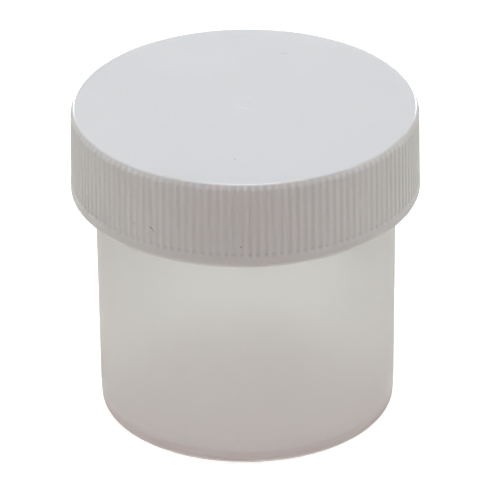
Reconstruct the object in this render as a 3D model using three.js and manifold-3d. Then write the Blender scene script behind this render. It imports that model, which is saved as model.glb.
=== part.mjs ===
// Screw-cap staining jar, in millimetres, +Z up, standing on Z = 0 with its axis on Z.
//
// Three pieces: a translucent moulded jar with a thread on its neck, a white ribbed cap with the matching thread
// inside, and the loose foam disc in the cap that seals on the jar's rim. The cap is modelled screwed home.

import * as THREE from 'three';
import { mergeVertices } from 'three/addons/utils/BufferGeometryUtils.js';
import Module from 'manifold-3d';

const wasm = await Module();
wasm.setup();

// Jar: a straight-sided cup with the same bore from floor to mouth, apart from its mould draft.
const JAR_HEIGHT = 49.3; // standing ring to rim
const MOUTH_RADIUS = 22.5; // inside, at the rim
const JAR_DRAFT = 0.65; // degrees that the wall leans in towards the foot
const BODY_WALL = 1.3;
const NECK_WALL = 1.6;
const RIM_CHAMFER = 0.35; // on both edges of the rim
const FLOOR_THICKNESS = 1.2;
const FLOOR_ROUND = 1.7; // inside corner between floor and wall
const FOOT_ROUND = 2.0; // outside corner between wall and standing ring
const FOOT_RING_WIDTH = 1.6; // flat part of the standing ring
const FOOT_RECESS = 0.6; // lift of the floor's underside inside the standing ring

// Thread on the jar's neck: single start, right hand.
const THREAD_LEAD = 4.233; // rise for each turn, six turns to the inch
const THREAD_TURNS = 1.25;
const THREAD_DEPTH = 1.3; // crest over neck
const THREAD_ROOT_WIDTH = 2.4;
const THREAD_CREST_WIDTH = 1.0;
const THREAD_TOP_LAND = 1.6; // plain neck between rim and thread
const THREAD_FOOT_LAND = 1.2; // plain neck between thread and shoulder
const THREAD_RUNOUT = 25; // degrees over which each end of a thread fades into its wall

// Thread inside the cap, and its room around the jar's.
const CAP_THREAD_TURNS = 1.25;
const CAP_THREAD_ROOT_WIDTH = 2.2;
const CAP_THREAD_CREST_WIDTH = 0.9;
const CAP_THREAD_FOOT_LAND = 1.2; // plain bore between the skirt's edge and the thread
const BORE_CLEARANCE = 0.45; // cap's bore around the jar's thread crest
const NECK_CLEARANCE = 0.6; // cap's thread crest around the jar's neck
const FLANK_CLEARANCE = 0.3; // under the jar's thread, where the cap's thread pulls up

// Cap: skirt, top plate, ribs and the bead round its edge.
const CAP_DRAFT = 0.5; // degrees that the skirt flares towards its edge
const SKIRT_WALL = 1.14; // at the top, between bore and the ribs' roots
const SKIRT_OVERLAP = 1.3; // reach of the skirt below the jar's shoulder
const TOP_THICKNESS = 1.6;
const EDGE_ROUND = 0.9; // between top plate and skirt
const BORE_CHAMFER = 0.4;
const RIB_COUNT = 140;
const RIB_HEIGHT = 0.3;
const RIB_CREST_WIDTH = 0.42;
const RIB_BASE_WIDTH = 0.66;
const RIB_RAMP = 0.4; // slope in which each groove runs out at its top
const TOP_BAND = 1.1; // plain band above the ribs
const BAND_SINK = 0.07; // band under rib crests
const BEAD_HEIGHT = 2.0;
const BEAD_PROUD = 0.1; // bead over rib crests
const BEAD_ROUND = 0.8; // its lower edge
const GATE_RADIUS = 1.8; // dimple that the moulding gate leaves in the top
const GATE_DEPTH = 0.15;
const GATE_NUB_RADIUS = 0.4;

// Foam disc, and the bead inside the cap that keeps it from falling out.
const LINER_THICKNESS = 1.0;
const LINER_CLEARANCE = 0.4; // inside the cap's bore
const LINER_HOLD = 0.5; // reach of the retaining bead under the disc's edge
const RETAINER_HEIGHT = 0.9;
const RETAINER_GAP = 0.3; // below the disc

// Fineness of the round surfaces.
const SEGMENTS = 72; // round the jar, the bore and each turn of thread
const GATE_SEGMENTS = 20;
const ARC_DIVISIONS = 2; // a rounded edge has twice as many chords
const CUT_MARGIN = 1.0; // reach of a cutting solid past the face it opens
const WALL_BITE = 0.3; // depth of a thread ridge's foot inside its wall
const RUNOUT_STEP = 0.04; // what the grooves' run-out stays under the band, so that the two surfaces cross
const MERGE_TOLERANCE = 1e-4;

const jarSlope = Math.tan(THREE.MathUtils.degToRad(JAR_DRAFT));
const capSlope = Math.tan(THREE.MathUtils.degToRad(CAP_DRAFT));
const facetAngle = (2 * Math.PI) / SEGMENTS;

// Heights on the jar.
const floorZ = FOOT_RECESS + FLOOR_THICKNESS;
const threadTopZ = JAR_HEIGHT - THREAD_TOP_LAND - THREAD_ROOT_WIDTH / 2;
const threadFootZ = threadTopZ - THREAD_TURNS * THREAD_LEAD;
const shoulderZ = threadFootZ - THREAD_ROOT_WIDTH / 2 - THREAD_FOOT_LAND;

// Radii from the mouth outwards.
const neckRadius = MOUTH_RADIUS + NECK_WALL;
const threadCrestRadius = neckRadius + THREAD_DEPTH;
const boreRadius = threadCrestRadius + BORE_CLEARANCE;
const grooveRadius = boreRadius + SKIRT_WALL;
const crestRadius = grooveRadius + RIB_HEIGHT;
const bandRadius = crestRadius - BAND_SINK;
const capThreadDepth = boreRadius - neckRadius - NECK_CLEARANCE;

// Heights on the cap, which stands on the disc, which lies on the rim.
const plateZ = JAR_HEIGHT + LINER_THICKNESS;
const capTopZ = plateZ + TOP_THICKNESS;
const skirtZ = shoulderZ - SKIRT_OVERLAP;
const beadTopZ = skirtZ + BEAD_HEIGHT;
const ribTopZ = capTopZ - TOP_BAND;

const boreAt = (z) => boreRadius + capSlope * (plateZ - z);
const flareAt = (z) => capSlope * (capTopZ - z);
const mouthAt = (z) => MOUTH_RADIUS - jarSlope * (JAR_HEIGHT - z);
const bodyAt = (z) => mouthAt(z) + BODY_WALL;
const beadRadius = crestRadius + flareAt(beadTopZ) + BEAD_PROUD;

// A closed manifold solid from any closed geometry, whichever way round its faces are.
function solidFrom(geometry) {
  geometry.deleteAttribute('normal');
  geometry.deleteAttribute('uv');
  const merged = mergeVertices(geometry, MERGE_TOLERANCE);
  const position = merged.getAttribute('position');
  const corners = [];
  for (let i = 0; i < merged.index.count; i += 3) {
    const [a, b, c] = [0, 1, 2].map((k) => merged.index.getX(i + k));
    if (a !== b && b !== c && c !== a) corners.push(a, b, c);
  }
  if (signedVolume(position, corners) < 0) corners.reverse();
  return new wasm.Manifold(
    new wasm.Mesh({
      numProp: 3,
      vertProperties: position.array,
      triVerts: Uint32Array.from(corners),
    }),
  );
}

function signedVolume(position, corners) {
  const [a, b, c] = [new THREE.Vector3(), new THREE.Vector3(), new THREE.Vector3()];
  let volume = 0;
  for (let i = 0; i < corners.length; i += 3) {
    a.fromBufferAttribute(position, corners[i]);
    b.fromBufferAttribute(position, corners[i + 1]);
    c.fromBufferAttribute(position, corners[i + 2]);
    volume += a.dot(b.cross(c)) / 6;
  }
  return volume;
}

function namedMesh(name, solid, material) {
  const { vertProperties, triVerts } = solid.getMesh();
  const geometry = new THREE.BufferGeometry();
  geometry.setAttribute('position', new THREE.BufferAttribute(vertProperties, 3));
  geometry.setIndex(new THREE.BufferAttribute(triVerts, 1));
  geometry.computeVertexNormals();
  const mesh = new THREE.Mesh(geometry, material);
  mesh.name = name;
  return mesh;
}

// The solid that a profile of radius against height sweeps round the Z axis.
function turned(profile, segments) {
  const points = profile.getPoints(ARC_DIVISIONS).filter(
    (point, i, all) => i === 0 || point.distanceTo(all[i - 1]) > MERGE_TOLERANCE,
  );
  return solidFrom(new THREE.LatheGeometry(points, segments).rotateX(Math.PI / 2));
}

// A quarter of a rounded edge, from one angle in degrees to another, added to a profile.
function roundEdge(profile, centreRadius, centreZ, radius, fromDegrees, toDegrees) {
  const from = THREE.MathUtils.degToRad(fromDegrees);
  const to = THREE.MathUtils.degToRad(toDegrees);
  profile.absarc(centreRadius, centreZ, radius, from, to, toDegrees < fromDegrees);
}

// The centre line of a thread's foot. It climbs with the lead, keeps its section upright, and at both ends it
// moves by `dive` into the wall, so that the ridge fades away instead of ending in a step.
class ThreadPath extends THREE.Curve {
  constructor({ radius, startAngle, startZ, turns, dive }) {
    super();
    Object.assign(this, { radius, startAngle, startZ, turns, dive });
  }

  getPoint(t, target = new THREE.Vector3()) {
    const swept = t * this.turns * 2 * Math.PI;
    const runout = THREE.MathUtils.degToRad(THREAD_RUNOUT);
    const fromEnd = Math.min(swept, this.turns * 2 * Math.PI - swept);
    const faded = 1 - THREE.MathUtils.smoothstep(fromEnd, 0, runout);
    const radius = this.radius + this.dive * faded;
    const angle = this.startAngle + swept;
    const z = this.startZ + (THREAD_LEAD * swept) / (2 * Math.PI);
    return target.set(radius * Math.cos(angle), radius * Math.sin(angle), z);
  }

  getSpacedPoints(divisions) {
    return this.getPoints(divisions);
  }

  computeFrenetFrames(divisions) {
    const outwards = this.getPoints(divisions).map((point) => point.setZ(0).normalize());
    const upwards = outwards.map(() => new THREE.Vector3(0, 0, 1));
    return { tangents: [], normals: outwards, binormals: upwards };
  }
}

// A thread's ridge on a wall of the given radius. `facing` is 1 on the outside of a neck and -1 inside a bore.
function threadRidge({ radius, facing, depth, rootWidth, crestWidth, startAngle, startZ, turns }) {
  const flank = (rootWidth - crestWidth) / 2 / depth;
  const footHalf = rootWidth / 2 + flank * WALL_BITE;
  const section = new THREE.Shape([
    new THREE.Vector2(-facing * WALL_BITE, -footHalf),
    new THREE.Vector2(facing * depth, -crestWidth / 2),
    new THREE.Vector2(facing * depth, crestWidth / 2),
    new THREE.Vector2(-facing * WALL_BITE, footHalf),
  ]);
  const path = new ThreadPath({ radius, startAngle, startZ, turns, dive: -facing * depth });
  const steps = Math.ceil(turns * SEGMENTS);
  return solidFrom(new THREE.ExtrudeGeometry(section, { steps, extrudePath: path }));
}

function jarOutside() {
  const footRadius = bodyAt(FOOT_ROUND) - FOOT_ROUND;
  const ringRadius = footRadius - FOOT_RING_WIDTH;
  const stepZ = shoulderZ - Math.abs(neckRadius - bodyAt(shoulderZ));
  const profile = new THREE.Path();
  profile.moveTo(0, FOOT_RECESS);
  profile.lineTo(ringRadius - FOOT_RECESS, FOOT_RECESS);
  profile.lineTo(ringRadius, 0);
  profile.lineTo(footRadius, 0);
  roundEdge(profile, footRadius, FOOT_ROUND, FOOT_ROUND, -90, 0);
  profile.lineTo(bodyAt(stepZ), stepZ);
  profile.lineTo(neckRadius, shoulderZ);
  profile.lineTo(neckRadius, JAR_HEIGHT - RIM_CHAMFER);
  profile.lineTo(neckRadius - RIM_CHAMFER, JAR_HEIGHT);
  profile.lineTo(0, JAR_HEIGHT);
  return turned(profile, SEGMENTS);
}

function jarCavity() {
  const floorRadius = mouthAt(floorZ + FLOOR_ROUND) - FLOOR_ROUND;
  const flareRadius = MOUTH_RADIUS + RIM_CHAMFER;
  const profile = new THREE.Path();
  profile.moveTo(0, floorZ);
  profile.lineTo(floorRadius, floorZ);
  roundEdge(profile, floorRadius, floorZ + FLOOR_ROUND, FLOOR_ROUND, -90, 0);
  profile.lineTo(mouthAt(JAR_HEIGHT - RIM_CHAMFER), JAR_HEIGHT - RIM_CHAMFER);
  profile.lineTo(flareRadius, JAR_HEIGHT);
  profile.lineTo(flareRadius, JAR_HEIGHT + CUT_MARGIN);
  profile.lineTo(0, JAR_HEIGHT + CUT_MARGIN);
  return turned(profile, SEGMENTS);
}

function jarThread() {
  return threadRidge({
    radius: neckRadius,
    facing: 1,
    depth: THREAD_DEPTH,
    rootWidth: THREAD_ROOT_WIDTH,
    crestWidth: THREAD_CREST_WIDTH,
    startAngle: facetAngle / 2,
    startZ: threadFootZ + (THREAD_LEAD * facetAngle) / 2 / (2 * Math.PI),
    turns: THREAD_TURNS,
  });
}

function makeJar() {
  const material = new THREE.MeshStandardMaterial({
    color: 0xe6e4de,
    roughness: 0.38,
    metalness: 0,
    transparent: true,
    opacity: 0.6,
  });
  const solid = jarOutside().add(jarThread()).subtract(jarCavity());
  return namedMesh('jar', solid, material);
}

// The cap as turned, before the grooves between its ribs are cut. Its edge is as wide as the bead all the way
// up to the ribs' sloping ends.
function capBlank() {
  const profile = new THREE.Path();
  profile.moveTo(0, skirtZ);
  profile.lineTo(beadRadius - BEAD_ROUND, skirtZ);
  roundEdge(profile, beadRadius - BEAD_ROUND, skirtZ + BEAD_ROUND, BEAD_ROUND, -90, 0);
  profile.lineTo(beadRadius, ribTopZ - RIB_RAMP);
  profile.lineTo(bandRadius + flareAt(ribTopZ), ribTopZ);
  const edgeZ = capTopZ - EDGE_ROUND;
  const edgeRadius = bandRadius + flareAt(edgeZ);
  profile.lineTo(edgeRadius, edgeZ);
  roundEdge(profile, edgeRadius - EDGE_ROUND, edgeZ, EDGE_ROUND, 0, 90);
  profile.lineTo(0, capTopZ);
  return turned(profile, RIB_COUNT / 2);
}

// The dimple in the middle of the top, with the broken-off nub of the gate standing in it.
function gateCutter() {
  const dimpleZ = capTopZ - GATE_DEPTH;
  const profile = new THREE.Path();
  profile.moveTo(0, dimpleZ + GATE_DEPTH / 2);
  profile.lineTo(GATE_NUB_RADIUS, dimpleZ + GATE_DEPTH / 2);
  profile.lineTo(GATE_NUB_RADIUS, dimpleZ);
  profile.lineTo((GATE_RADIUS + GATE_NUB_RADIUS) / 2, dimpleZ);
  profile.lineTo(GATE_RADIUS, capTopZ);
  profile.lineTo(GATE_RADIUS, capTopZ + CUT_MARGIN);
  profile.lineTo(0, capTopZ + CUT_MARGIN);
  return turned(profile, GATE_SEGMENTS);
}

// The ribbed outline at the top of the skirt: a crest and the two feet of each rib, all the way round.
function ribbedOutline() {
  const points = [];
  for (let i = 0; i < RIB_COUNT; i += 1) {
    const centre = (2 * Math.PI * i) / RIB_COUNT - Math.PI / 2;
    for (const [radius, offset] of [
      [grooveRadius, -RIB_BASE_WIDTH / 2],
      [crestRadius, -RIB_CREST_WIDTH / 2],
      [crestRadius, RIB_CREST_WIDTH / 2],
      [grooveRadius, RIB_BASE_WIDTH / 2],
    ]) {
      const angle = centre + offset / radius;
      points.push(new THREE.Vector2(radius * Math.cos(angle), radius * Math.sin(angle)));
    }
  }
  return points;
}

// What stays of the skirt where the grooves run out: a cone from their roots to just under the band.
function grooveEnds() {
  const footZ = ribTopZ - RIB_RAMP;
  const rise = bandRadius - RUNOUT_STEP - grooveRadius;
  const profile = new THREE.Path();
  profile.moveTo(0, footZ);
  profile.lineTo(grooveRadius + flareAt(footZ), footZ);
  profile.lineTo(grooveRadius + flareAt(ribTopZ) + 2 * rise, ribTopZ + RIB_RAMP);
  profile.lineTo(0, ribTopZ + RIB_RAMP);
  return turned(profile, RIB_COUNT);
}

// What is cut away round the ribs, from the bead to where the grooves run out. It flares with the skirt's draft.
function ribCutter() {
  const ring = new THREE.Shape();
  ring.absarc(0, 0, beadRadius + CUT_MARGIN, 0, 2 * Math.PI);
  ring.holes.push(new THREE.Path(ribbedOutline()));
  const depth = ribTopZ + RIB_RAMP / 2 - beadTopZ;
  const geometry = new THREE.ExtrudeGeometry(ring, { depth, bevelEnabled: false });
  geometry.translate(0, 0, beadTopZ);
  const position = geometry.getAttribute('position');
  const corner = new THREE.Vector3();
  for (let i = 0; i < position.count; i += 1) {
    corner.fromBufferAttribute(position, i);
    const radius = Math.hypot(corner.x, corner.y);
    const flared = (radius + flareAt(corner.z)) / radius;
    position.setXY(i, corner.x * flared, corner.y * flared);
  }
  return solidFrom(geometry).subtract(grooveEnds());
}

// The inside of the cap, up to the plate's underside, with the waist that the retaining bead leaves in it.
function capCavity() {
  const linerRadius = boreRadius - LINER_CLEARANCE;
  const retainerTopZ = JAR_HEIGHT - RETAINER_GAP;
  const retainerFootZ = retainerTopZ - RETAINER_HEIGHT;
  const mouthRadius = boreAt(skirtZ) + BORE_CHAMFER + CUT_MARGIN;
  const profile = new THREE.Path();
  profile.moveTo(0, skirtZ - CUT_MARGIN);
  profile.lineTo(mouthRadius, skirtZ - CUT_MARGIN);
  profile.lineTo(boreAt(skirtZ + BORE_CHAMFER), skirtZ + BORE_CHAMFER);
  profile.lineTo(boreAt(retainerFootZ), retainerFootZ);
  profile.lineTo(linerRadius - LINER_HOLD, (retainerFootZ + retainerTopZ) / 2);
  profile.lineTo(boreAt(retainerTopZ), retainerTopZ);
  profile.lineTo(boreRadius, plateZ);
  profile.lineTo(0, plateZ);
  return turned(profile, SEGMENTS);
}

// The cap's thread runs on the jar's helix, lowered until its upper flank clears the jar's lower flank.
function capThread() {
  const jarFlank = (THREAD_ROOT_WIDTH - THREAD_CREST_WIDTH) / 2 / THREAD_DEPTH;
  const jarHalf = THREAD_ROOT_WIDTH / 2 - jarFlank * NECK_CLEARANCE;
  const capHalf = CAP_THREAD_CREST_WIDTH / 2;
  const drop = jarHalf + capHalf + FLANK_CLEARANCE;
  const lowestZ = skirtZ + CAP_THREAD_FOOT_LAND + CAP_THREAD_ROOT_WIDTH / 2;
  const climbed = (2 * Math.PI * (lowestZ - threadFootZ + drop)) / THREAD_LEAD;
  const startAngle = (Math.ceil(climbed / facetAngle) + 1 / 2) * facetAngle;
  return threadRidge({
    radius: boreRadius,
    facing: -1,
    depth: capThreadDepth,
    rootWidth: CAP_THREAD_ROOT_WIDTH,
    crestWidth: CAP_THREAD_CREST_WIDTH,
    startAngle,
    startZ: threadFootZ - drop + (THREAD_LEAD * startAngle) / (2 * Math.PI),
    turns: CAP_THREAD_TURNS,
  });
}

function makeCap() {
  const material = new THREE.MeshStandardMaterial({ color: 0xe9e9ec, roughness: 0.42, metalness: 0 });
  const outside = capBlank().subtract(ribCutter()).subtract(gateCutter());
  const inside = capCavity().subtract(capThread());
  return namedMesh('screw_cap', outside.subtract(inside), material);
}

function makeLiner() {
  const radius = boreRadius - LINER_CLEARANCE;
  const material = new THREE.MeshStandardMaterial({ color: 0xf3f3f0, roughness: 0.85, metalness: 0 });
  const profile = new THREE.Path();
  profile.moveTo(0, JAR_HEIGHT);
  profile.lineTo(radius, JAR_HEIGHT);
  profile.lineTo(radius, plateZ);
  profile.lineTo(0, plateZ);
  return namedMesh('cap_liner', turned(profile, SEGMENTS), material);
}

const closure = new THREE.Group();
closure.add(makeCap(), makeLiner());

const group = new THREE.Group();
group.add(makeJar(), closure);

export default group;
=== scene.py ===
"""The looks of a small staining jar: a translucent moulded jar, its ribbed screw cap and its foam disc.

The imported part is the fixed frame. Every piece here is a skin of rings round the Z axis, in metres, in that
frame: +Z up, the jar standing on Z = 0. The skins stand for the faceted solids, with finer threads, ribs and
roundings.
"""

from __future__ import annotations

import logging
import math
from collections.abc import Sequence
from dataclasses import dataclass, field
from enum import Enum

import bpy
import numpy as np
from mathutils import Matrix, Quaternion, Vector


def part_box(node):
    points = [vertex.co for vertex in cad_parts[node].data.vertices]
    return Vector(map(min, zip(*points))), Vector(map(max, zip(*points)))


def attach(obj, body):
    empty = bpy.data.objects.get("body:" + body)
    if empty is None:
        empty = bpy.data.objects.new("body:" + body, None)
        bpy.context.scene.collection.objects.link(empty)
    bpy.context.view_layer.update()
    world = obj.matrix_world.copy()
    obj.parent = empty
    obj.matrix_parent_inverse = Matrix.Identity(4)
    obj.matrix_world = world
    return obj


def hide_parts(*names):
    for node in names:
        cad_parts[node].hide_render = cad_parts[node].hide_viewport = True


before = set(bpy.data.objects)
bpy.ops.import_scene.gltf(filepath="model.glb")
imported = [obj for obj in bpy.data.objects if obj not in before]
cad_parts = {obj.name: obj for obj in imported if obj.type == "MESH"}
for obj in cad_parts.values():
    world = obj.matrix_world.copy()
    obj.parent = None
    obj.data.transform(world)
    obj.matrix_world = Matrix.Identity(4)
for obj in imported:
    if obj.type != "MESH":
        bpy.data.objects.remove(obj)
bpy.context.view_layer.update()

LOG = logging.getLogger("staining_jar")
MM = 0.001
TURN = 2 * math.pi
FRONT = -math.pi / 2  # the angle of -Y, which faces the camera
THREAD_LEAD = 4.233 * MM
PLAIN_SPAN = 2.5 * MM  # the longest distance between the rows of a plain wall
THREAD_SPAN = 0.13 * MM  # the same on a threaded wall
ARC_CHORDS = 5
FINE_ARC_CHORDS = 8
FLAT_MARGIN = 0.3  # the length kept flat next to an arc, as a share of its rounding
SPAN_SLACK = 1e-6  # how far past a whole number of spans a length still counts as that number

Pair = tuple[float, float]
Triple = tuple[float, float, float]
Colour = tuple[float, float, float, float]


# ------------------------------
# Shader graphs
# ------------------------------


class Value:
    """An output socket. A number takes part in arithmetic: each operator adds one Math node."""

    def __init__(self, graph: Graph, socket: bpy.types.NodeSocket) -> None:
        """Wraps one output socket of a graph."""
        self.graph = graph
        self.socket = socket

    def _math(self, operation: str, first: Operand, second: Operand) -> Value:
        """The Math node that works on two operands, either of which may be a plain number."""
        return self.graph.node("ShaderNodeMath", {"operation": operation}, {0: first, 1: second})["Value"]

    def __add__(self, other: Operand) -> Value:
        """self + other."""
        return self._math("ADD", self, other)

    __radd__ = __add__

    def __sub__(self, other: Operand) -> Value:
        """self - other."""
        return self._math("SUBTRACT", self, other)

    def __rsub__(self, other: Operand) -> Value:
        """other - self."""
        return self._math("SUBTRACT", other, self)

    def __mul__(self, other: Operand) -> Value:
        """self * other."""
        return self._math("MULTIPLY", self, other)

    __rmul__ = __mul__

    def __abs__(self) -> Value:
        """Its size without its sign."""
        return self.graph.node("ShaderNodeMath", {"operation": "ABSOLUTE"}, {0: self})["Value"]


Operand = Value | float


class Graph:
    """The node tree of a material or of the world."""

    def __init__(self, tree: bpy.types.NodeTree) -> None:
        """Starts from an empty tree."""
        self.tree = tree
        self.tree.nodes.clear()

    @classmethod
    def material(cls, name: str) -> tuple[Graph, bpy.types.Material]:
        """Makes a new material.

        Args:
            name: its name.

        Returns:
            Its graph, and the material itself.
        """
        material = bpy.data.materials.new(name)
        material.use_nodes = True
        return cls(material.node_tree), material

    def node(self, kind: str, settings: dict | None = None, inputs: dict | None = None) -> dict[str, Value]:
        """Adds one node.

        Args:
            kind: the node's type name.
            settings: its own settings, set first, because they decide which inputs it has.
            inputs: a number, colour or linked Value for each input, by name or index.

        Returns:
            Its outputs by name.
        """
        made = self.tree.nodes.new(kind)
        for key, value in (settings or {}).items():
            setattr(made, key, value)
        for key, value in (inputs or {}).items():
            if isinstance(value, Value):
                self.tree.links.new(value.socket, made.inputs[key])
            else:
                made.inputs[key].default_value = value
        return {socket.name: Value(self, socket) for socket in made.outputs if socket.enabled}

    def place(self) -> Value:
        """The point on the piece, in metres in the part's frame."""
        return self.node("ShaderNodeTexCoord")["Object"]

    def noise(self, size: float, detail: float = 2.0, stretch: Triple = (1, 1, 1)) -> Value:
        """A soft pattern from 0 to 1.

        Args:
            size: the width of its largest spots, in metres.
            detail: how many finer layers it has.
            stretch: how much longer the spots are along each axis.

        Returns:
            The pattern's value.
        """
        scaled = {"Vector": self.place(), "Scale": stretch}
        vector = self.node("ShaderNodeMapping", {"vector_type": "TEXTURE"}, scaled)["Vector"]
        inputs = {"Vector": vector, "Scale": 1 / size, "Detail": detail}
        return self.node("ShaderNodeTexNoise", None, inputs)["Fac"]

    def length(self, vector: Value) -> Value:
        """How long a vector is."""
        return self.node("ShaderNodeVectorMath", {"operation": "LENGTH"}, {0: vector})["Value"]

    def ramp(self, value: Operand, low: float, high: float) -> Value:
        """A smooth step of a value: 0 below low, 1 above high."""
        inputs = {"Value": value, "From Min": low, "From Max": high}
        return self.node("ShaderNodeMapRange", {"interpolation_type": "SMOOTHSTEP"}, inputs)["Result"]

    def mix(self, factor: Operand, first: Value | Colour, second: Value | Colour) -> Value:
        """A colour between two: the first at factor 0, the second at factor 1."""
        inputs = {"Factor": factor, 6: first, 7: second}
        return self.node("ShaderNodeMix", {"data_type": "RGBA"}, inputs)["Result"]

    def bump(self, height: Value, depth: float, normal: Value | None = None) -> Value:
        """Tilts the surface's normal by a relief.

        Args:
            height: the relief, from 0 to 1.
            depth: what a height of 1 stands for, in metres.
            normal: the normal that it starts from, where that isn't the surface's own.

        Returns:
            The tilted normal.
        """
        inputs: dict = {"Height": height, "Distance": depth, "Strength": 1.0}
        if normal is not None:
            inputs["Normal"] = normal
        return self.node("ShaderNodeBump", None, inputs)["Normal"]

    def surface(self, shader: Value) -> None:
        """Makes a shader the material's result."""
        self.node("ShaderNodeOutputMaterial", None, {"Surface": shader})


# ------------------------------
# Finishes
# ------------------------------


def linear(red: float, green: float, blue: float) -> Colour:
    """A colour in linear light, fully opaque."""
    return (red, green, blue, 1.0)


def grey(level: float) -> Colour:
    """A neutral colour of that level."""
    return linear(level, level, level)


@dataclass(frozen=True)
class Mark:
    """A small blemish: an ellipsoid inside which the plastic is darker.

    Attributes:
        centre: its place, in millimetres.
        turn: how it is turned about X and then about Z, in degrees.
        half_sizes: half its sizes along its own axes, in millimetres.
        shade: how much darker it is, from 0 to 1.
    """

    SKIRT_RADIUS = 27.2  # where the middle of a nick on the skirt lies, in millimetres
    SKIRT_DEPTH = 0.6  # half the size of such a nick across the skirt, in millimetres
    SOLID_SHARE = 0.3  # of the way out, before a mark starts to fade

    centre: Triple
    turn: Pair
    half_sizes: Triple
    shade: float

    @classmethod
    def on_skirt(cls, degrees: float, height: float, lean: float, size: Pair, shade: float) -> Mark:
        """A nick on the skirt.

        Args:
            degrees: its angle round the axis, from +X towards +Y.
            height: the height of its middle, in millimetres.
            lean: how far it leans from the upright, in degrees.
            size: its width and its length, in millimetres.
            shade: how much darker it is, from 0 to 1.

        Returns:
            The mark.
        """
        angle = math.radians(degrees)
        centre = (cls.SKIRT_RADIUS * math.cos(angle), cls.SKIRT_RADIUS * math.sin(angle), height)
        return cls(centre, (lean, degrees), (cls.SKIRT_DEPTH, size[0] / 2, size[1] / 2), shade)

    def mask(self, graph: Graph) -> Value:
        """The shade inside the mark.

        Args:
            graph: the material's graph.

        Returns:
            The shade, falling to 0 at the mark's edge.
        """
        inputs = {
            "Vector": graph.place(),
            "Location": [c * MM for c in self.centre],
            "Rotation": (math.radians(self.turn[0]), 0, math.radians(self.turn[1])),
            "Scale": [s * MM for s in self.half_sizes],
        }
        vector = graph.node("ShaderNodeMapping", {"vector_type": "TEXTURE"}, inputs)["Vector"]
        return self.shade * (1 - graph.ramp(graph.length(vector), self.SOLID_SHARE, 1.0))


# Painted shade: the skirt's grooves are darkened where they end, for the shade that falls there.
@dataclass(frozen=True)
class GrooveEndShade:
    """The painted shade where the skirt's grooves end: a darker tone for the shade at the bottom of each
    groove. Sizes in metres.

    Attributes:
        height: the height at which it is darkest.
        reach: how far above and below that it fades out.
        radius: the radius at which it starts.
        depth: how much further in it is at its darkest.
        shade: how much darker it is, from 0 to 1.
    """

    height: float
    reach: float
    radius: float
    depth: float
    shade: float = 0.13

    def mask(self, graph: Graph) -> Value:
        """The painted shade at the bottom of each groove.

        Args:
            graph: the material's graph.

        Returns:
            The shade, falling to 0 over the reach and the depth.
        """
        place = graph.place()
        inputs = {0: place, 1: (1, 1, 0)}
        flat = graph.node("ShaderNodeVectorMath", {"operation": "MULTIPLY"}, inputs)["Vector"]
        radius = graph.length(flat)
        height = graph.node("ShaderNodeSeparateXYZ", None, {0: place})["Z"]
        away = abs(height - self.height)
        deep = 1 - graph.ramp(radius, self.radius - self.depth, self.radius)
        return self.shade * deep * (1 - graph.ramp(away, 0.0, self.reach))


@dataclass(frozen=True)
class SatinWhite:
    """Opaque white polypropylene from a finely eroded mould, with a few marks of handling and painted shade
    where the skirt's grooves end.
    """

    tone: Colour = linear(0.650, 0.650, 0.655)
    cloud_tone: Colour = linear(0.625, 0.623, 0.625)
    # The dark tone of the nicks, and also of the painted shade at the grooves' ends.
    dirt_and_shade_tone: Colour = linear(0.13, 0.12, 0.11)
    roughness: float = 0.215
    roughness_spread: float = 0.045
    refraction: float = 1.49
    cloud_size: float = 14 * MM
    cloud_edges: Pair = (0.35, 0.75)
    cloud_share: float = 0.6
    speck_size: float = 0.5 * MM
    speck_edges: Pair = (0.30, 0.75)
    speck_share: float = 0.4
    pebble_size: float = 0.32 * MM
    pebble_depth: float = 0.004 * MM
    wave_size: float = 5 * MM
    wave_depth: float = 0.02 * MM
    scatter_share: float = 0.6
    scatter_reach: float = 1.0 * MM
    scatter_colour: Triple = (1.0, 0.9, 0.8)
    # The nicks, and the painted shade at the grooves' ends.
    marks: tuple[Mark | GrooveEndShade, ...] = ()

    def material(self, name: str) -> bpy.types.Material:
        """Builds the finish: faint clouds and specks in the tone, an uneven satin and a fine pebbled relief.

        Args:
            name: the material's name.

        Returns:
            The material.
        """
        graph, material = Graph.material(name)
        clouds = graph.ramp(graph.noise(self.cloud_size, detail=3.0), *self.cloud_edges)
        specks = graph.ramp(graph.noise(self.speck_size), *self.speck_edges)
        colour = graph.mix(self.cloud_share * clouds + self.speck_share * specks, self.tone, self.cloud_tone)
        # Darkens the nicks, and paints the shade at the grooves' ends, with the same dark tone.
        for mark in self.marks:
            colour = graph.mix(mark.mask(graph), colour, self.dirt_and_shade_tone)
        pebbles = graph.noise(self.pebble_size)
        waves = graph.bump(graph.noise(self.wave_size, detail=1.0), self.wave_depth)
        inputs = {
            "Base Color": colour,
            "Roughness": self.roughness + self.roughness_spread * clouds,
            "Normal": graph.bump(pebbles, self.pebble_depth, waves),
            "IOR": self.refraction,
            "Subsurface Weight": self.scatter_share,
            "Subsurface Radius": self.scatter_colour,
            "Subsurface Scale": self.scatter_reach,
        }
        graph.surface(graph.node("ShaderNodeBsdfPrincipled", None, inputs)["BSDF"])
        return material


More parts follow.
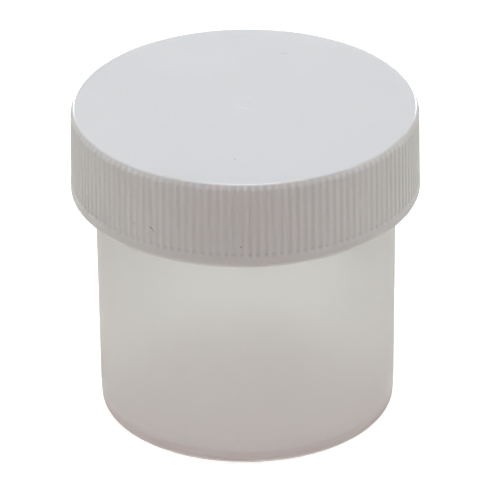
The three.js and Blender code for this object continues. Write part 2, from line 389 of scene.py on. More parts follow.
@dataclass(frozen=True)
class NaturalTranslucent:
    """Uncoloured polypropylene: milky, and clear enough to show what is close behind it as a soft shade."""

    tone: Colour = linear(0.985, 0.984, 0.975)
    cloud_tone: Colour = linear(0.970, 0.968, 0.957)
    milkiness: float = 0.50
    transmission: float = 0.77
    roughness: float = 0.17
    roughness_spread: float = 0.05
    refraction: float = 1.49
    cloud_size: float = 9 * MM
    cloud_edges: Pair = (0.30, 0.75)
    cloud_stretch: Triple = (1, 1, 2.5)
    ripple_size: float = 2.2 * MM
    ripple_stretch: Triple = (1, 1, 1.6)
    ripple_depth: float = 0.02 * MM

    def material(self, name: str) -> bpy.types.Material:
        """Builds the finish: milky clouds drawn out along the wall, and the ripple of a moulded surface.

        Args:
            name: the material's name.

        Returns:
            The material.
        """
        graph, material = Graph.material(name)
        clouds = graph.ramp(graph.noise(self.cloud_size, 3.0, stretch=self.cloud_stretch), *self.cloud_edges)
        ripple = graph.bump(graph.noise(self.ripple_size, stretch=self.ripple_stretch), self.ripple_depth)
        tone = graph.mix(clouds, self.tone, self.cloud_tone)
        inputs = {
            "Base Color": tone,
            "Roughness": self.roughness + self.roughness_spread * clouds,
            "Normal": ripple,
            "IOR": self.refraction,
            "Transmission Weight": self.transmission,
        }
        skin = graph.node("ShaderNodeBsdfPrincipled", None, inputs)["BSDF"]
        milk = graph.node("ShaderNodeBsdfTranslucent", None, {"Color": tone, "Normal": ripple})["BSDF"]
        mixed = graph.node("ShaderNodeMixShader", None, {0: self.milkiness, 1: skin, 2: milk})["Shader"]
        graph.surface(mixed)
        return material


@dataclass(frozen=True)
class ClosedCellFoam:
    """Matt white foam sheet with fine closed cells."""

    tone: Colour = linear(0.86, 0.86, 0.84)
    cell_tone: Colour = linear(0.72, 0.72, 0.69)
    roughness: float = 0.82
    roughness_spread: float = 0.1
    cell_size: float = 0.45 * MM
    cell_depth: float = 0.05 * MM
    pore_edges: Pair = (0.25, 0.75)

    def material(self, name: str) -> bpy.types.Material:
        """Builds the finish: small round cells as a relief, darker where they are open.

        Args:
            name: the material's name.

        Returns:
            The material.
        """
        graph, material = Graph.material(name)
        inputs = {"Vector": graph.place(), "Scale": 1 / self.cell_size}
        cells = graph.node("ShaderNodeTexVoronoi", {"feature": "SMOOTH_F1"}, inputs)["Distance"]
        pores = graph.ramp(cells, *self.pore_edges)
        inputs = {
            "Base Color": graph.mix(pores, self.tone, self.cell_tone),
            "Roughness": self.roughness + self.roughness_spread * pores,
            "Normal": graph.bump(cells, self.cell_depth),
        }
        graph.surface(graph.node("ShaderNodeBsdfPrincipled", None, inputs)["BSDF"])
        return material


# ------------------------------
# Surfaces
# ------------------------------


@dataclass(frozen=True)
class Corner:
    """A corner of an outline.

    Attributes:
        radius: its distance from the axis.
        height: its height above the floor.
        rounding: the radius that rounds it.
        chords: how many chords its arc has, where that isn't the outline's own number.
    """

    radius: float
    height: float
    rounding: float = 0.0
    chords: int = 0


def outline(corners: Sequence[Corner], chords: int = ARC_CHORDS) -> np.ndarray:
    """The points (radius, height) of an outline through its corners, each rounded.

    Where the outline turns by an angle a, the arc starts and ends rounding * tan(a / 2) from the corner, on
    the straights before and after. Its points are its centre plus the rounding times a unit vector that turns
    evenly by a. One more point lies on each straight a little beyond the arc, so that the straight stays flat
    in shading.

    Args:
        corners: the corners in order, with the outside of the solid on the right of the way.
        chords: how many chords each arc has, unless its corner says otherwise.

    Returns:
        An array of shape (points, 2).
    """
    place = np.array([(c.radius, c.height) for c in corners])
    made = [place[:1]]
    for before, here, after, corner in zip(place[:-2], place[1:-1], place[2:], corners[1:-1]):
        if corner.rounding == 0:
            made.append(here[None])
            continue
        coming = (here - before) / np.linalg.norm(here - before)
        going = (after - here) / np.linalg.norm(after - here)
        cross = coming[0] * going[1] - coming[1] * going[0]
        angle = math.atan2(cross, float(coming @ going))
        reach = corner.rounding * math.tan(abs(angle) / 2)
        spoke = np.array([coming[1], -coming[0]]) * math.copysign(corner.rounding, angle)
        centre = here - coming * reach - spoke
        turned = np.linspace(0, angle, (corner.chords or chords) + 1)
        arc = centre + np.stack(
            [
                spoke[0] * np.cos(turned) - spoke[1] * np.sin(turned),
                spoke[0] * np.sin(turned) + spoke[1] * np.cos(turned),
            ],
            axis=1,
        )
        margin = FLAT_MARGIN * corner.rounding
        made += [(arc[0] - coming * margin)[None], arc, (arc[-1] + going * margin)[None]]
    made.append(place[-1:])
    return np.concatenate(made)


def refined(points: np.ndarray, longest: float = PLAIN_SPAN) -> np.ndarray:
    """Adds points to an outline evenly.

    Args:
        points: the outline, of shape (points, 2).
        longest: how long a span may be.

    Returns:
        The same outline with more points.
    """
    made = []
    for start, end in zip(points[:-1], points[1:]):
        count = max(1, math.ceil(np.linalg.norm(end - start) / longest - SPAN_SLACK))
        made.append(start + (end - start) * (np.arange(count) / count)[:, None])
    return np.concatenate([*made, points[-1:]])


def even_angles(count: int, start: float = FRONT) -> np.ndarray:
    """Angles spread evenly round a full turn."""
    return start + TURN * np.arange(count) / count


def swept(points: np.ndarray, angles: np.ndarray, relief: np.ndarray | float = 0.0) -> np.ndarray:
    """The surface that an outline sweeps round the axis.

    At each outline point and angle it is ((r + relief) cos angle, (r + relief) sin angle, height).

    Args:
        points: the outline, of shape (rows, 2).
        angles: the angles of the columns.
        relief: what is added to the radius, as one number or an array of shape (rows, columns).

    Returns:
        An array of shape (rows, columns, 3).
    """
    radius = points[:, :1] + relief + np.zeros(len(angles))
    height = np.broadcast_to(points[:, 1:], radius.shape)
    return np.stack([radius * np.cos(angles), radius * np.sin(angles), height], axis=2)


class Skin:
    """A mesh made of rings, each joined to the one before; their columns may thin out or multiply."""

    def __init__(self) -> None:
        """Starts with nothing."""
        self.points: list[np.ndarray] = []
        self.faces: list[list[int]] = []
        self.count = 0
        self.rim: np.ndarray | None = None

    def add(self, grid: np.ndarray) -> None:
        """Adds rings and joins them up.

        Args:
            grid: the rings' points, of shape (rings, columns, 3).
        """
        rings, columns = grid.shape[:2]
        index = self.count + np.arange(rings * columns).reshape(rings, columns)
        self.points.append(grid.reshape(-1, 3))
        self.count += rings * columns
        if self.rim is not None:
            self._bridge(self.rim, index[0])
        lower, upper = index[:-1], index[1:]
        quads = np.stack([lower, np.roll(lower, -1, 1), np.roll(upper, -1, 1), upper], axis=2)
        self.faces += quads.reshape(-1, 4).tolist()
        self.rim = index[-1]

    def pole(self, height: float) -> None:
        """Adds a single point on the axis, which starts or closes the skin."""
        self.add(np.array([[[0.0, 0.0, height]]]))

    def _bridge(self, before: np.ndarray, after: np.ndarray) -> None:
        """Joins two rings. Where one has several times the columns of the other, each face takes that many.

        Args:
            before: the numbers of the first ring's points.
            after: the numbers of the second ring's points.
        """
        groups = min(len(before), len(after))
        if groups == 1:
            groups = max(len(before), len(after))
        first = self._runs(before, groups)
        second = self._runs(after, groups)[:, ::-1]
        self.faces += np.concatenate([first, second], axis=1).tolist()

    @staticmethod
    def _runs(ring: np.ndarray, groups: int) -> np.ndarray:
        """Cuts a ring into overlapping runs, one for each group.

        Args:
            ring: the numbers of its points. A pole has one, which it gives to every group.
            groups: how many runs there are.

        Returns:
            An array of shape (groups, points in a run).
        """
        if len(ring) == 1:
            return np.repeat(ring, groups)[:, None]
        step = len(ring) // groups
        start = step * np.arange(groups)
        return ring[(start[:, None] + np.arange(step + 1)) % len(ring)]

    def build(self, name: str, material: bpy.types.Material) -> bpy.types.Object:
        """Makes the mesh object, smooth all over.

        Args:
            name: the name of the object and of its mesh.
            material: what it is made of.

        Returns:
            The object, linked to the scene.
        """
        mesh = bpy.data.meshes.new(name)
        mesh.from_pydata(np.concatenate(self.points), [], self.faces)
        mesh.shade_smooth()
        mesh.materials.append(material)
        made = bpy.data.objects.new(name, mesh)
        bpy.context.scene.collection.objects.link(made)
        return made


class Facing(Enum):
    """Which way a thread stands up from its wall."""

    OUTWARDS = 1
    INWARDS = -1


@dataclass(frozen=True)
class Thread:
    """A single-start right-hand thread, as a relief on a round wall."""

    facing: Facing
    depth: float
    root_width: float
    crest_width: float
    start_angle: float
    start_height: float
    turns: float
    runout: float = math.radians(25)

    def relief(self, angles: np.ndarray, heights: np.ndarray) -> np.ndarray:
        """What the thread adds to the wall's radius.

        On each pass of the helix, the distance from its middle line along the wall becomes a trapezium, full
        within half the crest's width and nothing beyond half the root's, with its corners softened by
        3t^2 - 2t^3. The same curve fades both ends over the runout. The highest pass counts.

        Args:
            angles: the columns' angles.
            heights: the rows' heights.

        Returns:
            An array of shape (rows, columns).
        """
        total = self.turns * TURN
        best = np.zeros((len(heights), len(angles)))
        for lap in range(math.ceil(self.turns) + 1):
            along = (angles - self.start_angle) % TURN + lap * TURN
            middle = self.start_height + THREAD_LEAD * along / TURN
            away = np.abs(heights[:, None] - middle[None])
            flank = (self.root_width - self.crest_width) / 2
            ridge = smooth((self.root_width / 2 - away) / flank)
            fade = smooth(np.minimum(along, total - along) / self.runout)
            best = np.maximum(best, ridge * fade)
        return self.facing.value * self.depth * best


def smooth(value: np.ndarray) -> np.ndarray:
    """The curve 3t^2 - 2t^3 of a value held between 0 and 1."""
    held = np.clip(value, 0, 1)
    return held * held * (3 - 2 * held)


# ------------------------------
# The pieces
# ------------------------------


@dataclass
class Jar:
    """The moulded jar, with its drafted wall, standing ring and threaded neck. Sizes in metres.

    The joins are how far above the shoulder, or above the foot of the land over the thread, the rows of one
    outline end and those of the next one start.
    """

    height: float
    mouth_radius: float = 22.5 * MM
    draft: float = math.tan(math.radians(0.65))
    body_wall: float = 1.3 * MM
    neck_wall: float = 1.6 * MM
    rim_round: float = 0.35 * MM
    floor_thickness: float = 1.2 * MM
    floor_round: float = 1.7 * MM
    foot_round: float = 1.9 * MM
    mould_lines: tuple[float, ...] = (2.55 * MM, 4.2 * MM)
    line_depth: float = 0.05 * MM
    line_height: float = 0.12 * MM
    line_round: float = 0.1 * MM
    shoulder_joins: Pair = (0.5 * MM, 0.6 * MM)
    land_joins: Pair = (0.2 * MM, 0.4 * MM)
    ring_width: float = 1.6 * MM
    recess: float = 0.6 * MM
    recess_round: float = 0.35 * MM
    ring_round: float = 0.3 * MM
    shoulder_round: float = 0.25 * MM
    thread_depth: float = 1.3 * MM
    thread_root: float = 2.4 * MM
    thread_crest: float = 1.0 * MM
    thread_top_land: float = 1.6 * MM
    thread_foot_land: float = 1.2 * MM
    thread_turns: float = 1.25
    thread_start: float = math.radians(2.5)
    gate_radius: float = 0.5 * MM
    gate_drop: float = 0.25 * MM
    gate_round: float = 0.1 * MM
    gate_shares: Pair = (0.4, 1.2)
    columns: int = 288
    middle_columns: int = 72
    middle_radius: float = 9 * MM
    middle_share: float = 0.9
    finish: NaturalTranslucent = field(default_factory=NaturalTranslucent)

    def __post_init__(self) -> None:
        """Works out the neck from the rim downwards."""
        self.neck_radius = self.mouth_radius + self.neck_wall
        thread_top = self.height - self.thread_top_land - self.thread_root / 2
        self.thread_low = thread_top - self.thread_turns * THREAD_LEAD
        self.shoulder = self.thread_low - self.thread_root / 2 - self.thread_foot_land
        self.floor = self.recess + self.floor_thickness

    def thread(self) -> Thread:
        """The neck's thread.

        Returns:
            The thread.
        """
        return Thread(
            facing=Facing.OUTWARDS,
            depth=self.thread_depth,
            root_width=self.thread_root,
            crest_width=self.thread_crest,
            start_angle=self.thread_start,
            start_height=self.thread_low + THREAD_LEAD * self.thread_start / TURN,
            turns=self.thread_turns,
        )

    def mouth_at(self, height: float) -> float:
        """The bore's radius at a height."""
        return self.mouth_radius - self.draft * (self.height - height)

    def body_at(self, height: float) -> float:
        """The body's outer radius at a height."""
        return self.mouth_at(height) + self.body_wall

    def foot_outline(self) -> np.ndarray:
        """The underside and the body, up to the neck's foot, with the steps that the mould's base leaves.

        Returns:
            Its points (radius, height).
        """
        ring_radius = self.body_at(self.foot_round) - self.foot_round - self.ring_width
        step = self.shoulder - (self.neck_radius - self.body_at(self.shoulder))
        inset = len(self.mould_lines) * self.line_depth
        foot = Corner(self.body_at(0) - inset, 0, self.foot_round)
        lines = []
        for low in self.mould_lines:
            high = low + self.line_height
            lines.append(Corner(self.body_at(low) - inset, low, self.line_round, chords=2))
            inset -= self.line_depth
            lines.append(Corner(self.body_at(high) - inset, high, self.line_round, chords=2))
        corners = [
            Corner(self.middle_radius, self.recess),
            Corner(ring_radius - self.recess, self.recess, self.recess_round),
            Corner(ring_radius, 0, self.ring_round),
            foot,
            *lines,
            Corner(self.body_at(step), step, self.shoulder_round),
            Corner(self.neck_radius, self.shoulder, self.shoulder_round),
            Corner(self.neck_radius, self.shoulder + self.shoulder_joins[0]),
        ]
        return refined(outline(corners, FINE_ARC_CHORDS))

    def neck_outline(self) -> np.ndarray:
        """The neck's outside, in rows close enough for its thread.

        Returns:
            Its points (radius, height).
        """
        low = self.shoulder + self.shoulder_joins[1]
        high = self.height - self.thread_top_land + self.land_joins[0]
        return refined(np.array([(self.neck_radius, low), (self.neck_radius, high)]), THREAD_SPAN)

    def inside_outline(self) -> np.ndarray:
        """The rim, the bore and the floor.

        Returns:
            Its points (radius, height).
        """
        corners = [
            Corner(self.neck_radius, self.height - self.thread_top_land + self.land_joins[1]),
            Corner(self.neck_radius, self.height, self.rim_round),
            Corner(self.mouth_radius, self.height, self.rim_round),
            Corner(self.mouth_at(self.floor), self.floor, self.floor_round),
            Corner(self.middle_radius, self.floor),
        ]
        return refined(outline(corners, FINE_ARC_CHORDS))

    def build(self) -> bpy.types.Object:
        """Builds the skin from the middle of the underside, up the outside and down to the floor's middle.

        Returns:
            The skin's object.
        """
        angles = even_angles(self.columns)
        middle_angles = even_angles(self.middle_columns)
        middle = self.middle_radius * self.middle_share
        gate_foot = self.recess - self.gate_drop
        gate = [
            Corner(self.gate_radius * self.gate_shares[0], gate_foot),
            Corner(self.gate_radius, gate_foot, self.gate_round),
            Corner(self.gate_radius * self.gate_shares[1], self.recess, self.gate_round),
            Corner(middle, self.recess),
        ]
        skin = Skin()
        skin.pole(gate_foot)
        skin.add(swept(refined(outline(gate)), middle_angles))
        skin.add(swept(self.foot_outline(), angles))
        neck = self.neck_outline()
        skin.add(swept(neck, angles, self.thread().relief(angles, neck[:, 1])))
        skin.add(swept(self.inside_outline(), angles))
        floor = np.array([(middle, self.floor), (self.gate_radius, self.floor)])
        skin.add(swept(refined(floor), middle_angles))
        skin.pole(self.floor)
        made = skin.build("jar_skin", self.finish.material("natural_polypropylene"))
        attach(made, "jar")
        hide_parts("jar")
        return made


@dataclass
class ScrewCap:
    """The cap: ribbed skirt and its bead, sloping edge, flat top with its gate dimple, and the thread inside.

    Sizes in metres. The joins are how far from a form the rows of one outline end and those of the next one
    start.
    """

    top: float
    foot: float
    rim: float
    jar: Jar
    liner_thickness: float
    draft: float = math.tan(math.radians(0.5))
    bore_clearance: float = 0.45 * MM
    neck_clearance: float = 0.6 * MM
    flank_clearance: float = 0.3 * MM
    skirt_wall: float = 1.33 * MM
    edge_width: float = 0.49 * MM
    edge_height: float = 0.96 * MM
    edge_rounds: Pair = (1.2 * MM, 0.35 * MM)
    bore_chamfer: float = 0.4 * MM
    chamfer_round: float = 0.12 * MM
    chamfer_joins: Pair = (0.25 * MM, 0.15 * MM)
    brim_joins: Pair = (0.5 * MM, 0.9 * MM)
    thread_root: float = 2.2 * MM
    thread_crest: float = 0.9 * MM
    thread_foot_land: float = 1.2 * MM
    thread_turns: float = 1.25
    rib_count: int = 140
    rib_height: float = 0.15 * MM
    rib_crest: float = 0.14 * MM
    rib_base: float = 1.12 * MM
    rib_fade: Pair = (0.95 * MM, 0.1 * MM)
    bead_height: float = 2.0 * MM
    bead_proud: float = 0.06 * MM
    bead_blend: float = 0.35 * MM
    bead_blend_share: float = 1.5
    bead_round: float = 0.8 * MM
    gate_radius: float = 1.3 * MM
    gate_depth: float = 0.025 * MM
    gate_rounds: Pair = (1.2 * MM, 0.3 * MM)
    dimple_share: float = 0.5
    nub_radius: float = 0.35 * MM
    nub_round: float = 0.05 * MM
    nub_shares: Pair = (0.7, 0.3)
    liner_clearance: float = 0.4 * MM
    liner_hold: float = 0.5 * MM
    plate_round: float = 0.25 * MM
    retainer_height: float = 0.9 * MM
    retainer_rounds: Pair = (0.15 * MM, 0.2 * MM)
    retainer_joins: Pair = (0.3 * MM, 0.4 * MM)
    retainer_gap: float = 0.3 * MM
    rib_columns: int = 8
    blend_rows: int = 9
    skirt_rows: int = 6
    eaves_join: float = 1 * MM
    lip_chords: int = 6
    thinning: int = 4
    centre_radius: float = 1 * MM
    middle_radius: float = 11 * MM
    middle_share: float = 0.9
    finish: SatinWhite = field(default_factory=SatinWhite)

    def __post_init__(self) -> None:
        """Works out the radii from the jar's neck outwards."""
        self.plate = self.rim + self.liner_thickness
        self.bore_radius = self.jar.neck_radius + self.jar.thread_depth + self.bore_clearance
        self.groove_radius = self.bore_radius + self.skirt_wall
        self.crest_radius = self.groove_radius + self.rib_height
        self.bead_top = self.foot + self.bead_height
        self.bead_radius = self.crest_radius + self.flare_at(self.bead_top) + self.bead_proud

    def flare_at(self, height: float | np.ndarray) -> float | np.ndarray:
        """How much wider than at the top the skirt is at a height."""
        return self.draft * (self.top - height)

    def bore_at(self, height: float) -> float:
        """The bore's radius at a height."""
        return self.bore_radius + self.draft * (self.plate - height)

    def thread(self) -> Thread:
        """The cap's thread: the jar's helix, lowered until its upper flank clears the jar's lower flank.

        Returns:
            The thread.
        """
        jar_flank = (self.jar.thread_root - self.jar.thread_crest) / 2 / self.jar.thread_depth
        jar_half = self.jar.thread_root / 2 - jar_flank * self.neck_clearance
        drop = jar_half + self.thread_crest / 2 + self.flank_clearance
        lowest = self.foot + self.thread_foot_land + self.thread_root / 2
        climbed = TURN * (lowest - self.jar.thread_low + drop) / THREAD_LEAD
        step = 2 * self.jar.thread_start
        angle = (math.ceil(climbed / step) + 0.5) * step
        return Thread(
            facing=Facing.INWARDS,
            depth=self.bore_radius - self.jar.neck_radius - self.neck_clearance,
            root_width=self.thread_root,
            crest_width=self.thread_crest,
            start_angle=angle,
            start_height=self.jar.thread_low - drop + THREAD_LEAD * angle / TURN,
            turns=self.thread_turns,
        )

    def plate_outline(self) -> np.ndarray:
        """The plate's underside and the bore down to the foot of the bead that holds the disc.

        Returns:
            Its points (radius, height).
        """
        retainer_top = self.rim - self.retainer_gap
        retainer_foot = retainer_top - self.retainer_height
        waist = self.bore_radius - self.liner_clearance - self.liner_hold
        end = retainer_foot - self.retainer_joins[0]
        corners = [
            Corner(self.middle_radius, self.plate),
            Corner(self.bore_radius, self.plate, self.plate_round),
            Corner(self.bore_at(retainer_top), retainer_top, self.retainer_rounds[0]),
            Corner(waist, (retainer_top + retainer_foot) / 2, self.retainer_rounds[1]),
            Corner(self.bore_at(retainer_foot), retainer_foot, self.retainer_rounds[0]),
            Corner(self.bore_at(end), end),
        ]
        return refined(outline(corners))

    def bore_outline(self) -> np.ndarray:
        """The bore in rows close enough for its thread.

        Returns:
            Its points (radius, height).
        """
        high = self.rim - self.retainer_gap - self.retainer_height - self.retainer_joins[1]
        low = self.foot + self.bore_chamfer + self.chamfer_joins[0]
        return refined(np.array([(self.bore_at(high), high), (self.bore_at(low), low)]), THREAD_SPAN)

    def lip_outline(self) -> np.ndarray:
        """The skirt's edge and its bead, up to where it starts to blend into the ribs.

        Returns:
            Its points (radius, height).
        """
        chamfer = self.foot + self.bore_chamfer
        start = chamfer + self.chamfer_joins[1]
        corners = [
            Corner(self.bore_at(start), start),
            Corner(self.bore_at(chamfer), chamfer, self.chamfer_round),
            Corner(self.bore_at(self.foot) + self.bore_chamfer, self.foot, self.chamfer_round),
            Corner(self.bead_radius, self.foot, self.bead_round),
            Corner(self.bead_radius, self.bead_top - self.bead_blend_share * self.bead_blend),
        ]
        return outline(corners, self.lip_chords)

    def ribs(self) -> np.ndarray:
        """The ribbed skirt and the sloping edge above it.

        Across a rib's pitch the radius goes from the groove's root to the crest by 3t^2 - 2t^3, where t falls
        from 1 at half the crest's width to 0 at half the base's. Above the skirt a narrow slope, rounded at
        both corners, leads to the flat top. By the same curve of height, the grooves run out on that slope. At
        the foot they start, and the crests leave the bead, over twice the bead's blend.

        Returns:
            The grid of points, from the bead up to the flat top.
        """
        offsets = np.arange(self.rib_count * self.rib_columns) / self.rib_columns - 0.5
        angles = FRONT + TURN * offsets / self.rib_count
        pitch = TURN * self.crest_radius / self.rib_count
        away = np.abs((offsets + 0.5) % 1 - 0.5) * pitch
        ridge = smooth((self.rib_base / 2 - away) / ((self.rib_base - self.rib_crest) / 2))
        eaves = self.top - self.edge_height
        blend = np.linspace(-1, 1, self.blend_rows)
        straight = np.linspace(self.bead_top, eaves - self.eaves_join, self.skirt_rows)[1:]
        heights = np.concatenate([self.bead_top + self.bead_blend * blend, straight])
        rise = smooth((heights - self.bead_top) / self.bead_blend / 2 + 0.5)
        crest = self.bead_radius + (self.crest_radius + self.flare_at(heights) - self.bead_radius) * rise
        skirt = np.stack([crest, heights], axis=1)
        brim = self.crest_radius - self.edge_width
        corners = [
            Corner(*skirt[-1]),
            Corner(self.crest_radius + self.flare_at(eaves), eaves, self.edge_rounds[0]),
            Corner(brim, self.top, self.edge_rounds[1]),
            Corner(brim - self.brim_joins[0], self.top),
        ]
        rows = np.concatenate([skirt[:-1], outline(corners, FINE_ARC_CHORDS)])
        low, high = self.rib_fade
        depth = self.rib_height * (1 - smooth((rows[:, 1] - self.top + low) / (low - high)))
        depth[: len(rise)] *= rise
        return swept(rows, angles, depth[:, None] * (ridge - 1))

    def top_outline(self) -> np.ndarray:
        """The flat top from the edge as far as its middle."""
        start = self.crest_radius - self.edge_width - self.brim_joins[1]
        return refined(np.array([(start, self.top), (self.middle_radius, self.top)]))

    def gate_outline(self) -> np.ndarray:
        """The middle of the top, with the dimple and the broken-off nub of the moulding gate.

        Returns:
            Its points (radius, height).
        """
        dimple = self.top - self.gate_depth
        nub = dimple + self.gate_depth / 2
        corners = [
            Corner(self.middle_radius * self.middle_share, self.top),
            Corner(self.gate_radius, self.top, self.gate_rounds[0]),
            Corner(self.gate_radius * self.dimple_share, dimple, self.gate_rounds[1]),
            Corner(self.nub_radius, dimple, self.nub_round),
            Corner(self.nub_radius * self.nub_shares[0], nub, self.nub_round),
            Corner(self.nub_radius * self.nub_shares[1], nub),
        ]
        return refined(outline(corners))

    def build(self) -> bpy.types.Object:
        """Builds the skin from the plate's underside, round the skirt, to the middle of the top.

        Returns:
            The skin's object.
        """
        columns = self.rib_count * self.rib_columns // self.thinning
        start = FRONT - TURN / self.rib_count / 2
        angles = even_angles(columns, start)
        middle_angles = even_angles(columns // self.thinning, start)
        skin = Skin()
        skin.pole(self.plate)
        middle = self.middle_radius * self.middle_share
        plate = np.array([(self.centre_radius, self.plate), (middle, self.plate)])
        skin.add(swept(refined(plate), middle_angles))
        skin.add(swept(self.plate_outline(), angles))
        bore = self.bore_outline()
        skin.add(swept(bore, angles, self.thread().relief(angles, bore[:, 1])))
        skin.add(swept(self.lip_outline(), angles))
        skin.add(self.ribs())
        skin.add(swept(self.top_outline(), angles))
        gate = self.gate_outline()
        skin.add(swept(gate, middle_angles))
        skin.pole(gate[-1, 1])
        made = skin.build("cap_skin", self.finish.material("white_polypropylene"))
        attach(made, "cap")
        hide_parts("screw_cap")
        return made


@dataclass
class Liner:
    """The loose foam disc that seals on the jar's rim, with the ring that the rim has pressed into it.

    Sizes in metres.
    """

    foot: float
    top: float
    radius: float
    jar: Jar
    proud: float = 0.06 * MM
    rest_gap: float = 0.01 * MM
    edge_round: float = 0.15 * MM
    press_round: float = 0.2 * MM
    press_inside: float = 0.3 * MM
    press_outside: float = 0.1 * MM
    centre_radius: float = 1 * MM
    columns: int = 192
    finish: ClosedCellFoam = field(default_factory=ClosedCellFoam)

    def build(self) -> bpy.types.Object:
        """Builds the disc from the middle of its underside to the middle of its top.

        Returns:
            The skin's object.
        """
        low = self.foot - self.proud
        pressed = self.foot + self.rest_gap
        high = self.top - self.rest_gap
        corners = [
            Corner(self.centre_radius, low),
            Corner(self.jar.mouth_radius - self.press_outside, low, self.press_round),
            Corner(self.jar.mouth_radius + self.press_inside, pressed, self.press_round),
            Corner(self.jar.neck_radius - self.press_inside, pressed, self.press_round),
            Corner(self.jar.neck_radius + self.press_outside, low, self.press_round),
            Corner(self.radius, low, self.edge_round),
            Corner(self.radius, high, self.edge_round),
            Corner(self.centre_radius, high),
        ]
        skin = Skin()
        skin.pole(low)
        skin.add(swept(refined(outline(corners)), even_angles(self.columns)))
        skin.pole(high)
        made = skin.build("liner_skin", self.finish.material("closed_cell_foam"))
        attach(made, "liner")
        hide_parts("cap_liner")
        return made


# ------------------------------
# The studio
# ------------------------------


@dataclass(frozen=True)
class Softbox:
    """A rectangular area light that looks at the middle of the part.

    Attributes:
        name: the light's name.
        place: its middle, in metres.
        width: its size from side to side, in metres.
        depth: its size up and down, in metres.
        radiance: how bright its surface is.
        colour: its tint.
    """

    name: str
    place: Triple
    width: float
    depth: float
    radiance: float
    colour: Triple

    def build(self, aim: Vector) -> None:
        """Makes the light. Its power is the radiance times pi times its area.

        Args:
            aim: the point that it looks at.
        """
        lamp = bpy.data.lights.new(self.name, "AREA")
        lamp.shape = "RECTANGLE"
        lamp.size = self.width
        lamp.size_y = self.depth
        lamp.color = self.colour
        lamp.energy = self.radiance * math.pi * self.width * self.depth
        made = bpy.data.objects.new(self.name, lamp)
        made.location = self.place
        made.rotation_euler = (aim - Vector(self.place)).to_track_quat("-Z", "Y").to_euler()
        bpy.context.scene.collection.objects.link(made)


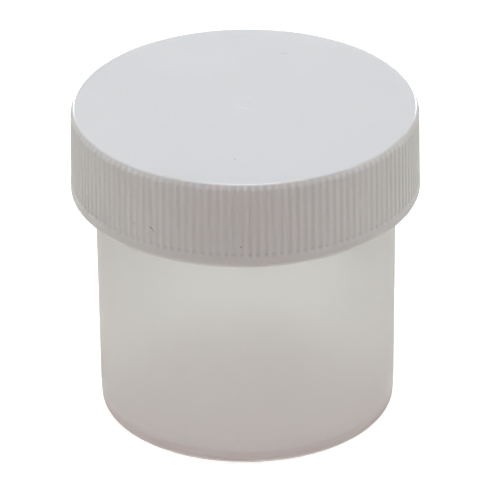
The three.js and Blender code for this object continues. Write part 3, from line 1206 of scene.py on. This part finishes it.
@dataclass(frozen=True)
class Studio:
    """A white sweep under soft light, and the camera.

    The floor's glow lights the part and is seen through it, but the camera itself sees plain white. It has
    one colour near the jar, one in a narrow rim round its foot, one behind it and one further away. Each pair
    of distances is where one colour starts to give way to the next and where it has gone.
    """

    softboxes: tuple[Softbox, ...] = (
        Softbox("overhead", (0.0, 0.0, 1.2), 0.45, 0.45, 16.7, (0.935, 0.94, 1.0)),
        Softbox("front", (0.0, -1.2, 0.9), 1.2, 0.8, 1.45, (1.0, 0.85, 0.84)),
        Softbox("back", (0.0, 1.2, 0.2), 1.6, 0.35, 9.8, (0.95, 1.0, 1.0)),
        Softbox("left", (-1.3, 0.0, 0.6), 1.2, 1.0, 1.43, (0.88, 1.0, 0.91)),
        Softbox("right", (1.3, 0.0, 0.6), 1.2, 1.0, 1.43, (0.88, 1.0, 0.91)),
    )
    floor_radius: float = 3.0
    floor_columns: int = 96
    floor_height: float = -0.05 * MM
    floor_albedo: float = 0.65
    floor_glow: float = 0.75
    floor_near: Colour = linear(0.11, 0.0, 0.01)
    floor_rim: Colour = linear(0.84, 0.84, 0.82)
    floor_far: Colour = linear(0.15, 0.085, 0.035)
    floor_behind: Colour = linear(2.18, 2.42, 2.36)
    near_end: Pair = (26 * MM, 36 * MM)
    rim_start: Pair = (24 * MM, 25 * MM)
    rim_end: Pair = (26 * MM, 28 * MM)
    behind_start: Pair = (20 * MM, 50 * MM)
    behind_side: Pair = (18 * MM, 27 * MM)
    surroundings: Colour = linear(0.0, 0.0, 0.0)
    light_aim: Triple = (0.0, 0.0, 0.025)
    aim: Triple = (0.0006, 0.0, 0.0262)
    distance: float = 1.2642
    elevation: float = 0.4890
    roll: float = 0.0094
    lens: float = 576.0
    clip: Pair = (0.01, 20.0)

    def floor(self) -> None:
        """A wide matt floor just under the part, which also glows a little, as a lit sweep does."""
        graph, material = Graph.material("white_sweep")
        matt = graph.node("ShaderNodeBsdfDiffuse", None, {"Color": grey(self.floor_albedo)})["BSDF"]
        place = graph.node("ShaderNodeSeparateXYZ", None, {0: graph.place()})
        aside = abs(place["X"])
        behind = graph.ramp(place["Y"], *self.behind_start) * (1 - graph.ramp(aside, *self.behind_side))
        reach = graph.length(graph.place())
        around = graph.mix(graph.ramp(reach, *self.near_end), self.floor_near, self.floor_far)
        rim = graph.ramp(reach, *self.rim_start) * (1 - graph.ramp(reach, *self.rim_end))
        lit = graph.mix(behind, graph.mix(rim, around, self.floor_rim), self.floor_behind)
        seen = graph.node("ShaderNodeLightPath")["Is Camera Ray"]
        colour = graph.mix(seen, lit, grey(self.floor_glow))
        glow = graph.node("ShaderNodeEmission", None, {"Color": colour})["Emission"]
        graph.surface(graph.node("ShaderNodeAddShader", None, {0: matt, 1: glow})["Shader"])
        skin = Skin()
        skin.add(swept(np.array([(self.floor_radius, self.floor_height)]), even_angles(self.floor_columns)))
        skin.pole(self.floor_height)
        skin.build("floor", material)

    def world(self) -> None:
        """White behind everything for the camera, and the surroundings' colour for light and reflections."""
        world = bpy.data.worlds.new("surroundings")
        world.use_nodes = True
        bpy.context.scene.world = world
        graph = Graph(world.node_tree)
        seen = graph.node("ShaderNodeLightPath")["Is Camera Ray"]
        colour = graph.mix(seen, self.surroundings, linear(1, 1, 1))
        shader = graph.node("ShaderNodeBackground", None, {"Color": colour})["Background"]
        graph.node("ShaderNodeOutputWorld", None, {"Surface": shader})

    def camera(self) -> None:
        """A long lens from the front, looking down on the cap, turned very slightly about its own axis."""
        data = bpy.data.cameras.new("camera")
        data.lens = self.lens
        data.clip_start, data.clip_end = self.clip
        back = Vector((0, -math.cos(self.elevation), math.sin(self.elevation)))
        made = bpy.data.objects.new("camera", data)
        made.location = Vector(self.aim) + back * self.distance
        made.rotation_mode = "QUATERNION"
        made.rotation_quaternion = (-back).to_track_quat("-Z", "Y") @ Quaternion((0, 0, 1), -self.roll)
        bpy.context.scene.collection.objects.link(made)
        bpy.context.scene.camera = made

    def build(self) -> None:
        """Makes the floor, the lights, the surroundings and the camera."""
        self.floor()
        self.world()
        for softbox in self.softboxes:
            softbox.build(Vector(self.light_aim))
        self.camera()
        bpy.context.scene.view_settings.view_transform = "Standard"


def main() -> None:
    """Builds the studio and the pieces."""
    logging.basicConfig(level=logging.INFO, format="%(name)s: %(message)s")
    Studio().build()
    jar_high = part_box("jar")[1]
    cap_low, cap_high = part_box("screw_cap")
    liner_low, liner_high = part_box("cap_liner")
    marks = (
        Mark.on_skirt(238.0, 42.3, 50.0, (0.24, 2.2), 0.85),
        Mark.on_skirt(230.7, 42.4, -10.0, (0.36, 0.8), 0.6),
        Mark.on_skirt(268.4, 41.2, 0.0, (0.30, 0.36), 0.95),
        Mark((6.2, 18.0, 51.9), (0, -10), (1.1, 0.09, 0.4), 0.5),
        Mark((-1.6, -18.4, 51.9), (0, 0), (0.2, 0.22, 0.4), 0.45),
        # Painted shade at the bottom ends of the skirt's grooves.
        GrooveEndShade(height=39.8 * MM, reach=0.5 * MM, radius=27.41 * MM, depth=0.12 * MM),
    )
    jar = Jar(height=jar_high.z)
    cap = ScrewCap(
        top=cap_high.z,
        foot=cap_low.z,
        rim=jar_high.z,
        jar=jar,
        liner_thickness=liner_high.z - liner_low.z,
        finish=SatinWhite(marks=marks),
    )
    liner = Liner(foot=liner_low.z, top=liner_high.z, radius=liner_high.x, jar=jar)
    for piece in (jar, cap, liner):
        made = piece.build()
        LOG.info("%s has %d faces", made.name, len(made.data.polygons))


if __name__ == "__main__":
    main()
